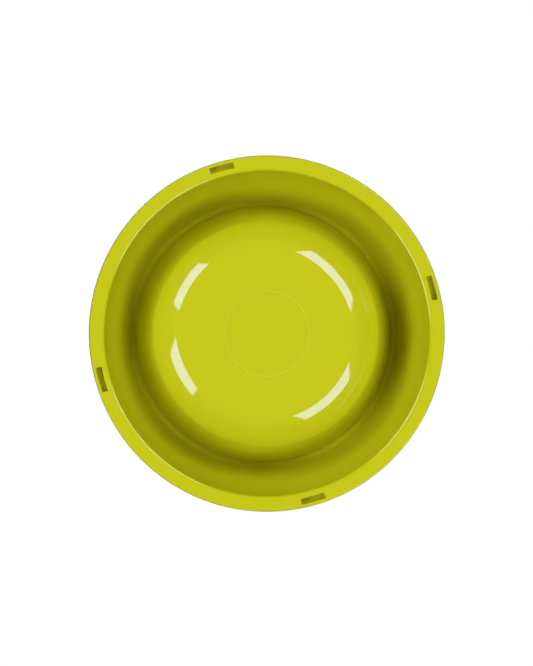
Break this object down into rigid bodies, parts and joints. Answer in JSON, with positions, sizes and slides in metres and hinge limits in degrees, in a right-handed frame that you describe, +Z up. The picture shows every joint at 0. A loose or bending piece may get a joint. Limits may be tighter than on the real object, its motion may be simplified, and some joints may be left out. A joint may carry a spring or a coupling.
{
  "type": "mixing bowl",
  "caption": "Round plastic bowl that hangs by its flat rim in a flared ring stand with a broad base face and arc-shaped foot sockets.",
  "frame": {"origin": "centre of the stand's base face, on the table", "axes": "+Z up along the bowl's axis, out of its mouth; the four sockets under the base lie on the X and Y axes"},
  "size_m": [0.185, 0.185, 0.055],
  "materials": {
    "stand_plastic": "glossy moulded lime plastic",
    "bowl_plastic": "glossy moulded lime plastic"
  },
  "bodies": {
    "stand": {"stand": "stand_plastic"},
    "bowl": {"bowl": "bowl_plastic"}
  },
  "joints": [
    {"name": "bowl_lift", "type": "slide", "parent": "stand", "child": "bowl", "axis": [0, 0, 1], "range_m": [0, 0.06]}
  ]
}
